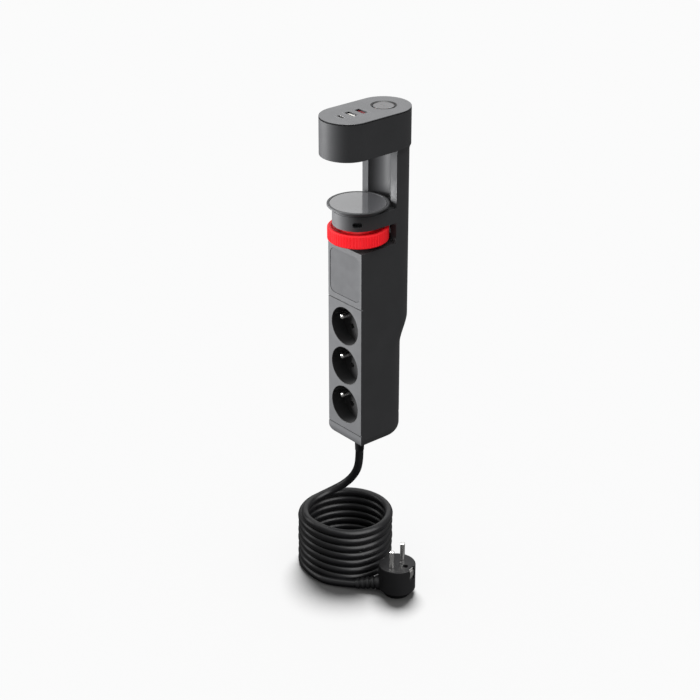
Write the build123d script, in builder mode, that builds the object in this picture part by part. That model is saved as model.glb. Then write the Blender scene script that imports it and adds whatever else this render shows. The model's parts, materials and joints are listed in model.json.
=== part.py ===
"""Desk power strip that clamps to a table edge: USB head, column, clamp, socket tower, cord and plug.

Millimetres. +X is the width, +Y points back from the table to the column, +Z is up. The origin is
on the clamp axis, on the head's underside, which rests on the table top.
"""

import os
from math import cos, pi, radians, sin, sqrt, tan

from build123d import *

# Driving dimensions ---------------------------------------------------------------------------
BODY_W = 50.0  # width of the tower, the column and the clamp arm
BODY_R = BODY_W / 2
FRONT_Y = -16.8  # front face of the tower
PARTING_Y = 2.6  # where the front covers meet the rear cover
FLANGE_Y = 26.7  # front face of the column
BACK_Y = 31.2  # centre of the round back, column and upper tower
LOW_BACK_Y = 22.0  # centre of the round back, lower tower
WALL = 2.5

HEAD_R = 26.5
HEAD_FRONT_Y = -40.2
HEAD_LENGTH = 98.0
HEAD_H = 37.5
PANEL_T = 1.6
LINE_H = 0.8  # height of the shadow line between the panel and the head shell

TOWER_TOP = -94.4
STEP_TOP = -176.0  # the back steps in between these two heights
STEP_END = -207.0
GROOVE_Z = -152.7  # joint between the two front covers
CAP_Z = -291.1
BOTTOM_Z = -307.4
BOTTOM_R = 12.0  # rounding of the bottom cap

PAD_R = 30.1
PAD_TOP = -52.6
ARM_TOP = -58.5
ARM_BOTTOM = -72.9
WHEEL_R = 29.7
WHEEL_TOP = -75.7
WHEEL_BOTTOM = -89.2
SCREW_R = 7.0
SCREW_BOTTOM = -137.0
SLIDE_GAP = 0.05  # radial running clearance

TROUGH_R = 17.0
TROUGH_Y = 23.0

SOCKET_Z = (-178.1, -221.2, -264.3)
RECESS_R = 19.5
RECESS_DEPTH = 15.5
LIP_R = 19.9  # the insert's front lip, which fills the hole in the cover
INSERT_R = 21.3
INSERT_BACK = 2.3
CONTACT_OFF = 6.72  # contact holes sit on the diagonal, 19 mm apart
EARTH_OFF = 7.07  # the earth pin is 10 mm from the centre, on the other diagonal
PIN_R = 2.4

BUTTON_Y = HEAD_FRONT_Y + HEAD_LENGTH - HEAD_R
USB_C_Y = -21.2
USB_A_Y = (-8.8, 3.4)

CORD_R = 4.15
RELIEF_END = -322.4
FLOOR_Z = -443.0
COIL_X, COIL_Y = 5.6, -21.2
COIL_R = 44.1
COIL_LAYERS = 8
COIL_PITCH = 8.45
PLUG_X, PLUG_Y = 83.8, -19.1
PLUG_TURN = 41.9  # direction from the cord into the plug
FACE_TURN = 14.9  # direction from one earth clip to the other; the pins stand across it
PLUG_R = 18.5
PLUG_FACE_Z = FLOOR_Z + 34.0

# The cord from its strain relief to where it lies down as the coil's top turn.
DROP_ROUTE = [
    (0.0, PARTING_Y, RELIEF_END),
    (0.0, PARTING_Y, -338.6),
    (-5.6, 1.0, -354.0),
    (-15.0, -4.6, -367.2),
    (-24.5, -16.6, -375.8),
    (-27.6, -33.2, -379.0),
    (-22.1, -50.0, -379.6),
    (-9.4, -61.9, -379.9),
]
# The cord from the coil's bottom turn to the plug's strain relief.
TAIL_ROUTE = [
    (9.5, -66.9, FLOOR_Z + CORD_R),
    (31.6, -64.1, FLOOR_Z + CORD_R),
    (52.9, -46.7, -437.4),
]

os.makedirs("parts", exist_ok=True)


def save(block, label):
    block.part.label = label
    export_step(block.part, f"parts/{label}.step")


def tower_outline(front, back_centre, inset=0.0):
    """A face at Z = 0: square at the front, half round at the back."""
    r = BODY_R - inset
    with BuildSketch() as outline:
        with BuildLine():
            Polyline((-r, back_centre), (-r, front), (r, front), (r, back_centre))
            ThreePointArc((r, back_centre), (0, back_centre + r), (-r, back_centre))
        make_face()
    return outline.sketch.face()


def head_outline(inset=0.0):
    """The head's pill outline at Z = 0."""
    with BuildSketch() as outline:
        with Locations((0, HEAD_FRONT_Y + HEAD_LENGTH / 2)):
            SlotOverall(HEAD_LENGTH - 2 * inset, 2 * (HEAD_R - inset), rotation=90)
    return outline.sketch.face()


def at(face, z):
    return face.moved(Location((0, 0, z)))


def back_centre_at(z):
    """Y of the round back's centre, which eases from BACK_Y to LOW_BACK_Y down the step."""
    t = min(max((STEP_TOP - z) / (STEP_TOP - STEP_END), 0.0), 1.0)
    return BACK_Y + (LOW_BACK_Y - BACK_Y) * t * t * (3 - 2 * t)


def tower_solid(front, top, bottom, inset=0.0):
    """The tower's stepped body between two heights, as one solid."""
    steps = 6
    heights = [STEP_TOP + (STEP_END - STEP_TOP) * k / steps for k in range(steps + 1)]
    with BuildPart(mode=Mode.PRIVATE) as body:
        extrude(at(tower_outline(front, BACK_Y, inset), top), amount=top - STEP_TOP, dir=(0, 0, -1))
        loft([at(tower_outline(front, back_centre_at(z), inset), z) for z in heights])
        low = at(tower_outline(front, LOW_BACK_Y, inset), STEP_END)
        extrude(low, amount=STEP_END - bottom, dir=(0, 0, -1))
    return body.part


def diagonal(offset_x, offset_z, centre_z):
    return (offset_x, centre_z + offset_z)


# Column and rear cover ------------------------------------------------------------------------
SCREW_SPOTS = [(-14.0, -110.0), (14.0, -110.0), (-17.2, -284.6), (17.2, -284.6)]

SEAT_DEPTH = 0.4  # the column's top stands this far into the head's underside
COLUMN_LENGTH = SEAT_DEPTH - TOWER_TOP

with BuildPart() as column:
    column_face = tower_outline(FLANGE_Y, BACK_Y)
    extrude(at(column_face, TOWER_TOP), amount=COLUMN_LENGTH)
    with BuildSketch(Plane.XY.offset(TOWER_TOP)):
        with Locations((0, TROUGH_Y)):
            Circle(TROUGH_R)
    extrude(amount=COLUMN_LENGTH, mode=Mode.SUBTRACT)
    # the wire duct between the trough and the back
    with BuildSketch(Plane.XY.offset(TOWER_TOP)):
        add(tower_outline(FLANGE_Y + WALL, BACK_Y, WALL))
        with Locations((0, TROUGH_Y)):
            Circle(TROUGH_R + WALL, mode=Mode.SUBTRACT)
    extrude(amount=COLUMN_LENGTH, mode=Mode.SUBTRACT)
    # small cove that spreads the top of the column to the head's width
    cove_steps = ((-5.0, 0.02), (-2.6, 0.35), (-1.0, 0.85), (SEAT_DEPTH, 1.48))
    rings = [at(tower_outline(FLANGE_Y, BACK_Y, -grow), z) for z, grow in cove_steps]
    with BuildPart(mode=Mode.PRIVATE) as cove:
        loft(rings)
        extrude(at(column_face, -6.0), amount=7.0, mode=Mode.SUBTRACT)
        with Locations((0, 0, -2.5)):
            Box(80, 2 * FLANGE_Y, 8, mode=Mode.SUBTRACT)
    add(cove.part)
save(column, "column")


def screw_seat(x, z):
    """Y of a cover screw's seat, sunk just below the round back."""
    return back_centre_at(z) + sqrt(BODY_R**2 - (abs(x) + 3.1) ** 2) - 3.0


with BuildPart() as rear_cover:
    add(tower_solid(PARTING_Y, TOWER_TOP, CAP_Z))
    add(tower_solid(PARTING_Y - 5, TOWER_TOP + 5, CAP_Z - 5, WALL), mode=Mode.SUBTRACT)
    # the deck's seat is open at the top, and the round back runs up to close under the column
    with BuildSketch(Plane.XY.offset(TOWER_TOP)):
        add(tower_outline(FLANGE_Y, BACK_Y))
        add(tower_outline(FLANGE_Y + WALL, BACK_Y, WALL), mode=Mode.SUBTRACT)
        with Locations((0, FLANGE_Y + WALL)):
            Rectangle(BODY_W - 2 * WALL, 2 * WALL, mode=Mode.SUBTRACT)
    extrude(amount=-2.0)
    # screw bosses for the front covers, with sunk seats in the back
    for x, z in SCREW_SPOTS:
        seat_y = screw_seat(x, z)
        with BuildSketch(Plane.XZ.offset(-PARTING_Y)):
            with Locations((x, z)):
                Circle(3.6)
        extrude(amount=-(seat_y + 1.0 - PARTING_Y))
        with BuildSketch(Plane.XZ.offset(-PARTING_Y)):
            with Locations((x, z)):
                Circle(1.6)
        extrude(amount=-(seat_y + 1.0 - PARTING_Y), mode=Mode.SUBTRACT)
        with BuildSketch(Plane.XZ.offset(-seat_y)):
            with Locations((x, z)):
                Circle(3.1)
        extrude(amount=-18.0, mode=Mode.SUBTRACT)
    # cord passage at the parting
    with BuildSketch(Plane.XY.offset(CAP_Z - 1)):
        with Locations((0, PARTING_Y)):
            Circle(5.2)
    extrude(amount=4, mode=Mode.SUBTRACT)
save(rear_cover, "rear_cover")

# Front covers ---------------------------------------------------------------------------------
GROOVE = 0.5
GROOVE_DEPTH = 1.4


def front_shell(top, bottom):
    """A shell that is open at the back, between the front face and the parting."""
    with BuildPart(mode=Mode.PRIVATE) as shell:
        with BuildSketch(Plane.XY.offset(bottom)):
            with Locations((0, (FRONT_Y + PARTING_Y) / 2)):
                Rectangle(BODY_W, PARTING_Y - FRONT_Y)
        extrude(amount=top - bottom)
        front_edges = shell.edges().filter_by(Axis.Z).group_by(Axis.Y)[0]
        fillet(front_edges, 0.5)
        with BuildSketch(Plane.XY.offset(bottom - 1)):
            with Locations((0, (FRONT_Y + WALL + PARTING_Y + 10) / 2)):
                Rectangle(BODY_W - 2 * WALL, PARTING_Y + 10 - FRONT_Y - WALL)
        extrude(amount=top - bottom + 2, mode=Mode.SUBTRACT)
    return shell.part


def groove_cut(z):
    """The half groove that is left open on the front face at a joint."""
    with BuildPart(mode=Mode.PRIVATE) as cut:
        with Locations((0, FRONT_Y, z)):
            Box(BODY_W + 2, 2 * GROOVE_DEPTH, 2 * GROOVE)
    return cut.part


LABEL_W, LABEL_TOP, LABEL_BOTTOM = 44.0, -100.0, -146.7
LABEL_GAP = 0.35

with BuildPart() as upper_front_cover:
    add(front_shell(TOWER_TOP, GROOVE_Z))
    add(groove_cut(GROOVE_Z), mode=Mode.SUBTRACT)
    with BuildSketch(Plane.XZ.offset(-FRONT_Y)):
        with Locations((0, (LABEL_TOP + LABEL_BOTTOM) / 2)):
            RectangleRounded(LABEL_W, LABEL_TOP - LABEL_BOTTOM, 6.5)
    extrude(amount=-1.3, mode=Mode.SUBTRACT)
    # the screw pillars' front halves
    for x, z in SCREW_SPOTS[:2]:
        with BuildSketch(Plane.XZ.offset(-(FRONT_Y + WALL))):
            with Locations((x, z)):
                Circle(3.6)
        extrude(amount=-(PARTING_Y - FRONT_Y - WALL))
save(upper_front_cover, "upper_front_cover")

with BuildPart() as label_plate:
    with BuildSketch(Plane.XZ.offset(-(FRONT_Y + 0.35))):
        label_height = LABEL_TOP - LABEL_BOTTOM - 2 * LABEL_GAP
        with Locations((0, (LABEL_TOP + LABEL_BOTTOM) / 2)):
            RectangleRounded(LABEL_W - 2 * LABEL_GAP, label_height, 6.5 - LABEL_GAP)
    extrude(amount=-0.9)
save(label_plate, "label_plate")

with BuildPart() as socket_cover:
    add(front_shell(GROOVE_Z, CAP_Z))
    add(groove_cut(GROOVE_Z), mode=Mode.SUBTRACT)
    add(groove_cut(CAP_Z), mode=Mode.SUBTRACT)
    for z in SOCKET_Z:
        with BuildSketch(Plane.XZ.offset(-(FRONT_Y - 1))):
            with Locations((0, z)):
                Circle(LIP_R + 0.05)
        extrude(amount=-6, mode=Mode.SUBTRACT)
    for x, z in SCREW_SPOTS[2:]:
        with BuildSketch(Plane.XZ.offset(-(FRONT_Y + WALL))):
            with Locations((x, z)):
                Circle(3.6)
        extrude(amount=-(PARTING_Y - FRONT_Y - WALL))
save(socket_cover, "socket_cover")

with BuildPart() as bottom_cap:
    extrude(at(tower_outline(FRONT_Y, LOW_BACK_Y), BOTTOM_Z), amount=CAP_Z - BOTTOM_Z)
    bottom_edges = bottom_cap.faces().sort_by(Axis.Z)[0].edges()
    fillet(bottom_edges, BOTTOM_R)
    add(groove_cut(CAP_Z), mode=Mode.SUBTRACT)
    extrude(
        at(tower_outline(FRONT_Y + WALL + 1.5, LOW_BACK_Y, WALL + 5.0), CAP_Z + 1),
        amount=CAP_Z + 1 - BOTTOM_Z - 2.6,
        dir=(0, 0, -1),
        mode=Mode.SUBTRACT,
    )
    with BuildSketch(Plane.XY.offset(BOTTOM_Z - 1)):
        with Locations((0, PARTING_Y)):
            Circle(CORD_R + 2.2)
    extrude(amount=6, mode=Mode.SUBTRACT)
save(bottom_cap, "bottom_cap")

with BuildPart() as cover_screws:
    for x, z in SCREW_SPOTS:
        seat = screw_seat(x, z)
        with BuildSketch(Plane.XZ.offset(-seat)):
            with Locations((x, z)):
                Circle(2.8)
        extrude(amount=-2.0)
        with BuildSketch(Plane.XZ.offset(-(seat + 2.0))):
            with Locations((x, z)):
                Rectangle(3.2, 0.8)
                Rectangle(0.8, 3.2)
        extrude(amount=1.2, mode=Mode.SUBTRACT)
        with BuildSketch(Plane.XZ.offset(-seat)):
            with Locations((x, z)):
                Circle(1.5)
        extrude(amount=seat - PARTING_Y - 2.0)
save(cover_screws, "cover_screws")

# Tower top and clamp --------------------------------------------------------------------------
with BuildPart() as deck:
    with BuildSketch(Plane.XY.offset(TOWER_TOP - 3.0)):
        with Locations((0, (FRONT_Y + WALL + FLANGE_Y + WALL) / 2)):
            Rectangle(BODY_W - 2 * WALL - 0.1, FLANGE_Y - FRONT_Y - 0.1)
        Circle(SCREW_R + 1.2, mode=Mode.SUBTRACT)
    extrude(amount=3.0)
save(deck, "deck")

with BuildPart() as lower_collar:
    with BuildSketch(Plane.XY.offset(TOWER_TOP)):
        Circle(15.0)
        Circle(SCREW_R + 0.6, mode=Mode.SUBTRACT)
    extrude(amount=WHEEL_BOTTOM - TOWER_TOP - 0.3)
    collar_rims = lower_collar.edges().filter_by(GeomType.CIRCLE).group_by(Axis.Z)[-1]
    chamfer(collar_rims.sort_by(SortBy.RADIUS)[-1], 0.8)
save(lower_collar, "lower_collar")

BUSH_R = 11.0
FLAT = 5.8  # half the distance across the screw's two flats

with BuildPart() as clamp_arm:
    with BuildSketch(Plane.XY.offset(ARM_BOTTOM)):
        Circle(BODY_R)
        with Locations((0, FLANGE_Y / 2)):
            Rectangle(BODY_W, FLANGE_Y)
    extrude(amount=ARM_TOP - ARM_BOTTOM)
    # tongue that fills the column's trough
    with BuildSketch(Plane.XY.offset(ARM_BOTTOM)):
        with Locations((0, TROUGH_Y)):
            Circle(TROUGH_R - 0.1)
        with Locations((0, FLANGE_Y - 20)):
            Rectangle(60, 40, mode=Mode.SUBTRACT)
    extrude(amount=ARM_TOP - ARM_BOTTOM)
    # hollow underside around the bush boss
    with BuildSketch(Plane.XY.offset(ARM_BOTTOM)):
        Circle(BODY_R - 3.0)
        Circle(BUSH_R + 3.0, mode=Mode.SUBTRACT)
    extrude(amount=ARM_TOP - ARM_BOTTOM - 3.0, mode=Mode.SUBTRACT)
    with BuildSketch(Plane.XY.offset(ARM_BOTTOM - 1)):
        Circle(BUSH_R)
    extrude(amount=ARM_TOP - ARM_BOTTOM + 2, mode=Mode.SUBTRACT)
    # blind oval hole in the round wall, with a solid pillar behind it
    hole_turn = radians(48)
    hole_plane = Plane(
        origin=(0, 0, ARM_BOTTOM + 6.6),
        x_dir=(cos(hole_turn), sin(hole_turn), 0),
        z_dir=(sin(hole_turn), -cos(hole_turn), 0),
    )
    with BuildSketch(hole_plane.offset(BUSH_R + 2.5)):
        Rectangle(13.4, 12.0)
    extrude(amount=9.5)
    with BuildSketch(hole_plane.offset(BODY_R - 8.0)):
        SlotOverall(9.4, 5.2)
    extrude(amount=10.0, mode=Mode.SUBTRACT)
save(clamp_arm, "clamp_arm")

with BuildPart() as guide_bush:
    with BuildSketch(Plane.XY.offset(ARM_BOTTOM)):
        Circle(BUSH_R)
    extrude(amount=ARM_TOP - ARM_BOTTOM - 0.2)
    with BuildSketch(Plane.XY.offset(ARM_BOTTOM - 1)):
        Circle(SCREW_R + SLIDE_GAP)
        for side in (-1, 1):
            with Locations((0, side * (FLAT + SLIDE_GAP + 5))):
                Rectangle(30, 10, mode=Mode.SUBTRACT)
    extrude(amount=ARM_TOP - ARM_BOTTOM + 2, mode=Mode.SUBTRACT)
save(guide_bush, "guide_bush")

with BuildPart() as thrust_washer:
    with BuildSketch(Plane.XY.offset(WHEEL_TOP + 0.3)):
        Circle(13.0)
        Circle(SCREW_R + 0.6, mode=Mode.SUBTRACT)
    extrude(amount=ARM_BOTTOM - WHEEL_TOP - 0.3)
save(thrust_washer, "thrust_washer")

with BuildPart() as clamp_screw:
    with BuildSketch(Plane.XY.offset(SCREW_BOTTOM)):
        Circle(SCREW_R)
        for side in (-1, 1):
            with Locations((0, side * (FLAT + 5))):
                Rectangle(30, 10, mode=Mode.SUBTRACT)
    extrude(amount=ARM_TOP + 0.3 - SCREW_BOTTOM)
    chamfer(clamp_screw.faces().sort_by(Axis.Z)[0].edges(), 0.8)
    with Locations((0, 0, ARM_TOP + 0.3)):
        CounterBoreHole(radius=1.9, counter_bore_radius=1.9, counter_bore_depth=1.0, depth=14.0)
save(clamp_screw, "clamp_screw")

CARRIER_BOTTOM = ARM_TOP + 0.3
RIM_T = 1.9
PAD_RECESS = 1.4

with BuildPart() as pad_carrier:
    with BuildSketch(Plane.XZ):
        with BuildLine():
            rim_low = PAD_TOP - RIM_T
            Polyline(
                (0, CARRIER_BOTTOM),
                (BODY_R - 0.2, CARRIER_BOTTOM),
                (BODY_R - 0.2, CARRIER_BOTTOM + 0.9),
            )
            Spline(
                (BODY_R - 0.2, CARRIER_BOTTOM + 0.9),
                (BODY_R + 1.5, CARRIER_BOTTOM + 2.5),
                (PAD_R, rim_low + 0.4),
                tangents=((0.15, 1), (1, 0.35)),
            )
            Polyline(
                (PAD_R, rim_low + 0.4),
                (PAD_R, PAD_TOP - 0.4),
                (PAD_R - 0.4, PAD_TOP),
                (PAD_R - 2.3, PAD_TOP),
                (PAD_R - 2.5, PAD_TOP - PAD_RECESS),
                (0, PAD_TOP - PAD_RECESS),
                (0, CARRIER_BOTTOM),
            )
        make_face()
    revolve(axis=Axis.Z)
    with Locations((0, 0, PAD_TOP - PAD_RECESS)):
        CounterSinkHole(radius=2.0, counter_sink_radius=3.9, depth=10)
save(pad_carrier, "pad_carrier")

with BuildPart() as clamp_pad:
    with BuildSketch(Plane.XY.offset(PAD_TOP - PAD_RECESS)):
        Circle(PAD_R - 2.6)
    extrude(amount=PAD_RECESS - 0.1)
    fillet(clamp_pad.edges().group_by(Axis.Z)[-1], 0.35)
save(clamp_pad, "clamp_pad")

with BuildPart() as pad_screw:
    with BuildSketch(Plane.XZ):
        with BuildLine():
            top = PAD_TOP - PAD_RECESS - 0.1
            Polyline(
                (0, top),
                (3.7, top),
                (1.8, top - 1.9),
                (1.8, top - 14.0),
                (0, top - 14.6),
                (0, top),
            )
        make_face()
    revolve(axis=Axis.Z)
    with BuildSketch(Plane.XY.offset(top)):
        RegularPolygon(1.5, 6)
    extrude(amount=-1.2, mode=Mode.SUBTRACT)
save(pad_screw, "pad_screw")

RIBS = 60
HUB_R = 17.0

with BuildPart() as clamp_wheel:
    with BuildSketch(Plane.XZ):
        with BuildLine():
            Polyline(
                (10.0, WHEEL_BOTTOM),
                (WHEEL_R - 1.2, WHEEL_BOTTOM),
                (WHEEL_R, WHEEL_BOTTOM + 1.2),
                (WHEEL_R, WHEEL_TOP - 1.2),
                (WHEEL_R - 1.2, WHEEL_TOP),
                (WHEEL_R - 3.4, WHEEL_TOP),
                (WHEEL_R - 5.2, WHEEL_TOP - 2.6),
                (HUB_R, WHEEL_TOP - 2.6),
                (HUB_R - 0.6, WHEEL_TOP),
                (10.0, WHEEL_TOP),
                (10.0, WHEEL_BOTTOM),
            )
        make_face()
    revolve(axis=Axis.Z)
    with BuildSketch(Plane.XY.offset(WHEEL_BOTTOM - 1)):
        with PolarLocations(WHEEL_R + 0.35, RIBS):
            Circle(0.85)
    extrude(amount=WHEEL_TOP - WHEEL_BOTTOM + 2, mode=Mode.SUBTRACT)
save(clamp_wheel, "clamp_wheel")

with BuildPart() as wheel_nut:
    with BuildSketch(Plane.XY.offset(WHEEL_BOTTOM)):
        Circle(10.0)
        Circle(SCREW_R + 0.08, mode=Mode.SUBTRACT)
    extrude(amount=WHEEL_TOP - WHEEL_BOTTOM)
save(wheel_nut, "wheel_nut")

# Sockets --------------------------------------------------------------------------------------
for number, z in enumerate(SOCKET_Z, 1):
    floor_y = FRONT_Y + RECESS_DEPTH
    contacts = [diagonal(-CONTACT_OFF, -CONTACT_OFF, z), diagonal(CONTACT_OFF, CONTACT_OFF, z)]
    with BuildPart() as socket_insert:
        with BuildSketch(Plane.XZ.offset(-FRONT_Y)):
            with Locations((0, z)):
                Circle(LIP_R)
        extrude(amount=-(INSERT_BACK - FRONT_Y))
        flange_y = FRONT_Y + WALL + 0.05
        with BuildSketch(Plane.XZ.offset(-flange_y)):
            with Locations((0, z)):
                Circle(INSERT_R)
        extrude(amount=-(INSERT_BACK - flange_y))
        with BuildSketch(Plane.XZ.offset(-FRONT_Y)):
            with Locations((0, z)):
                Circle(RECESS_R)
        extrude(amount=-RECESS_DEPTH, mode=Mode.SUBTRACT)
        rim = socket_insert.edges().filter_by(GeomType.CIRCLE).group_by(Axis.Y)[0]
        chamfer(rim.sort_by(SortBy.RADIUS)[0], 0.25)
        with BuildSketch(Plane.XZ.offset(-floor_y)):
            with Locations(*contacts):
                Circle(2.75)
            with Locations(diagonal(-EARTH_OFF, EARTH_OFF, z)):
                Circle(PIN_R)
        extrude(amount=-6, mode=Mode.SUBTRACT)
    save(socket_insert, f"socket_insert_{number}")

    with BuildPart() as shutter:
        with BuildSketch(Plane.XZ.offset(-(INSERT_BACK + 0.3))):
            with Locations((0, z)):
                SlotOverall(27.0, 7.0, rotation=45)
        extrude(amount=-1.6)
        # the ramps that the pins push aside
        with BuildSketch(Plane.XZ.offset(-(INSERT_BACK + 0.3 + 1.6))):
            with Locations((0, z)):
                RectangleRounded(8.0, 4.0, 0.8, rotation=45)
        extrude(amount=-0.8)
    save(shutter, f"socket_shutter_{number}")

with BuildPart() as earth_pins:
    for z in SOCKET_Z:
        spot = diagonal(-EARTH_OFF, EARTH_OFF, z)
        tip_y = FRONT_Y + 1.5
        with BuildSketch(Plane.XZ.offset(-tip_y)):
            with Locations(spot):
                Circle(PIN_R)
        extrude(amount=-(6.0 - tip_y))
    fillet(earth_pins.edges().filter_by(GeomType.CIRCLE).group_by(Axis.Y)[0], 1.6)
save(earth_pins, "earth_pins")

BAR_TOP = -160.0
BAR_BOTTOM = -274.0

with BuildPart() as earth_busbar:
    with Locations((-16.6, 6.6, (BAR_TOP + BAR_BOTTOM) / 2)):
        Box(4.0, 1.2, BAR_TOP - BAR_BOTTOM)
    for z in SOCKET_Z:
        with Locations((-10.5, 6.6, z + EARTH_OFF)):
            Box(12.0, 1.2, 7.0)
save(earth_busbar, "earth_busbar")

CONTACT_Y = 5.2
CONTACT_END = 16.0


def contact_set(side):
    """Three spring sleeves, one behind each contact hole on one side."""
    with BuildPart(mode=Mode.PRIVATE) as sleeves:
        for z in SOCKET_Z:
            with BuildSketch(Plane.XZ.offset(-CONTACT_Y)):
                with Locations(diagonal(side * CONTACT_OFF, side * CONTACT_OFF, z)):
                    Circle(3.4)
                    Circle(2.4, mode=Mode.SUBTRACT)
                    Rectangle(8.0, 0.8, rotation=45, mode=Mode.SUBTRACT)
            extrude(amount=-(CONTACT_END - CONTACT_Y))
            with BuildSketch(Plane.XZ.offset(-CONTACT_END)):
                with Locations(diagonal(side * CONTACT_OFF, side * CONTACT_OFF, z)):
                    Rectangle(6.4, 6.4)
            extrude(amount=-1.0)
    return sleeves.part


with BuildPart() as neutral_contacts:
    add(contact_set(-1))
save(neutral_contacts, "neutral_contacts")

with BuildPart() as live_contacts:
    add(contact_set(1))
save(live_contacts, "live_contacts")

for side, name in ((-1, "neutral_busbar"), (1, "live_busbar")):
    with BuildPart() as busbar:
        with Locations((side * CONTACT_OFF, CONTACT_END + 1.6, (BAR_TOP + BAR_BOTTOM) / 2)):
            Box(5.0, 1.2, BAR_TOP - BAR_BOTTOM)
    save(busbar, name)

with BuildPart() as contact_carrier:
    with BuildSketch(Plane.XZ.offset(-(CONTACT_END + 2.4))):
        with Locations((0, (BAR_TOP + BAR_BOTTOM) / 2)):
            RectangleRounded(38.0, BAR_TOP - BAR_BOTTOM + 6, 3.0)
    extrude(amount=-2.0)
    with Locations((0, CONTACT_END + 1.7, (BAR_TOP + BAR_BOTTOM) / 2)):
        Box(5.0, 1.4, BAR_TOP - BAR_BOTTOM)
save(contact_carrier, "contact_carrier")

# Head -----------------------------------------------------------------------------------------
SHELL_TOP = HEAD_H - PANEL_T

with BuildPart() as head_shell:
    extrude(head_outline(), amount=SHELL_TOP)
    fillet(head_shell.edges().group_by(Axis.Z)[0], 0.4)
    # shallow seat for the column's top, which leaves the desk face flat in front of it
    with Locations((0, FLANGE_Y - 0.4 + 30, SEAT_DEPTH / 2 - 1)):
        Box(60, 60, SEAT_DEPTH + 2, mode=Mode.SUBTRACT)
    extrude(at(head_outline(2.4), 3.0), amount=SHELL_TOP, mode=Mode.SUBTRACT)
    # wires pass down into the column's duct
    with BuildSketch(Plane.XY.offset(-1)):
        with Locations((0, 48.4)):
            SlotOverall(24.0, 6.0)
    extrude(amount=6, mode=Mode.SUBTRACT)
save(head_shell, "head_shell")

A_W, A_H = 13.1, 5.7
C_W, C_H = 9.0, 3.2
BEZEL_R = 12.7
CAP_R = 10.2

with BuildPart() as top_panel:
    extrude(at(head_outline(), SHELL_TOP + LINE_H), amount=PANEL_T - LINE_H)
    fillet(top_panel.edges().group_by(Axis.Z)[-1], 0.35)
    extrude(at(head_outline(1.2), SHELL_TOP), amount=LINE_H)
    extrude(at(head_outline(2.6), SHELL_TOP - 2.0), amount=2.0)
    extrude(at(head_outline(4.2), SHELL_TOP - 2.0), amount=2.0, mode=Mode.SUBTRACT)
    with BuildSketch(Plane.XY.offset(SHELL_TOP - 1)):
        for y in USB_A_Y:
            with Locations((0, y)):
                RectangleRounded(A_W + 0.1, A_H + 0.1, 0.4)
        with Locations((0, USB_C_Y)):
            SlotOverall(C_W + 0.1, C_H + 0.1)
        with Locations((0, BUTTON_Y)):
            Circle(BEZEL_R)
    extrude(amount=5, mode=Mode.SUBTRACT)
save(top_panel, "top_panel")

with BuildPart() as button_bezel:
    with BuildSketch(Plane(origin=(0, BUTTON_Y, 0), x_dir=(1, 0, 0), z_dir=(0, -1, 0))):
        with BuildLine():
            Polyline(
                (CAP_R + 0.35, HEAD_H - 6.0),
                (BEZEL_R - 0.02, HEAD_H - 6.0),
                (BEZEL_R - 0.02, HEAD_H - 0.1),
                (BEZEL_R - 0.4, HEAD_H - 0.1),
                (CAP_R + 0.35, HEAD_H - 1.7),
                (CAP_R + 0.35, HEAD_H - 6.0),
            )
        make_face()
    revolve(axis=Axis((0, BUTTON_Y, 0), (0, 0, 1)))
save(button_bezel, "button_bezel")

CAP_TOP = HEAD_H - 0.4
CAP_LOW = HEAD_H - 7.5
RING_R = 9.3
BAR_W, BAR_H = 10.0, 2.2
LIGHT_T = 1.2

with BuildPart() as power_button:
    with BuildSketch(Plane.XY.offset(CAP_LOW)):
        with Locations((0, BUTTON_Y)):
            Circle(CAP_R)
    extrude(amount=CAP_TOP - CAP_LOW)
    with BuildSketch(Plane.XY.offset(CAP_TOP)):
        with Locations((0, BUTTON_Y)):
            Circle(CAP_R + 1)
            Circle(RING_R, mode=Mode.SUBTRACT)
            SlotOverall(BAR_W, BAR_H)
    extrude(amount=-LIGHT_T, mode=Mode.SUBTRACT)
    with BuildSketch(Plane.XY.offset(CAP_LOW)):
        with Locations((0, BUTTON_Y)):
            Circle(CAP_R - 1.6)
    extrude(amount=CAP_TOP - CAP_LOW - 3.0, mode=Mode.SUBTRACT)
    with BuildSketch(Plane.XY.offset(CAP_LOW)):
        with Locations((0, BUTTON_Y)):
            Circle(2.4)
    extrude(amount=CAP_TOP - CAP_LOW - 2.0)
save(power_button, "power_button")

with BuildPart() as button_light_ring:
    with BuildSketch(Plane.XY.offset(CAP_TOP - LIGHT_T)):
        with Locations((0, BUTTON_Y)):
            Circle(CAP_R)
            Circle(RING_R, mode=Mode.SUBTRACT)
    extrude(amount=LIGHT_T)
    outer_edge = button_light_ring.edges().group_by(Axis.Z)[-1].sort_by(SortBy.RADIUS)[-1]
    fillet(outer_edge, 0.4)
save(button_light_ring, "button_light_ring")

with BuildPart() as button_light_bar:
    with BuildSketch(Plane.XY.offset(CAP_TOP - LIGHT_T)):
        with Locations((0, BUTTON_Y)):
            SlotOverall(BAR_W, BAR_H)
    extrude(amount=LIGHT_T)
save(button_light_bar, "button_light_bar")

SWITCH_TOP = CAP_LOW - 6.0
BOARD_TOP = 15.0

with BuildPart() as button_switch:
    with BuildSketch(Plane.XY.offset(BOARD_TOP)):
        with Locations((0, BUTTON_Y)):
            RectangleRounded(19.0, 19.0, 1.0)
    extrude(amount=SWITCH_TOP - BOARD_TOP)
    with BuildSketch(Plane.XY.offset(SWITCH_TOP)):
        with Locations((0, BUTTON_Y)):
            Circle(4.2)
            Circle(2.6, mode=Mode.SUBTRACT)
    extrude(amount=2.0)
save(button_switch, "button_switch")

SPRING_TURNS = 4
SPRING_R = 3.3

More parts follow.
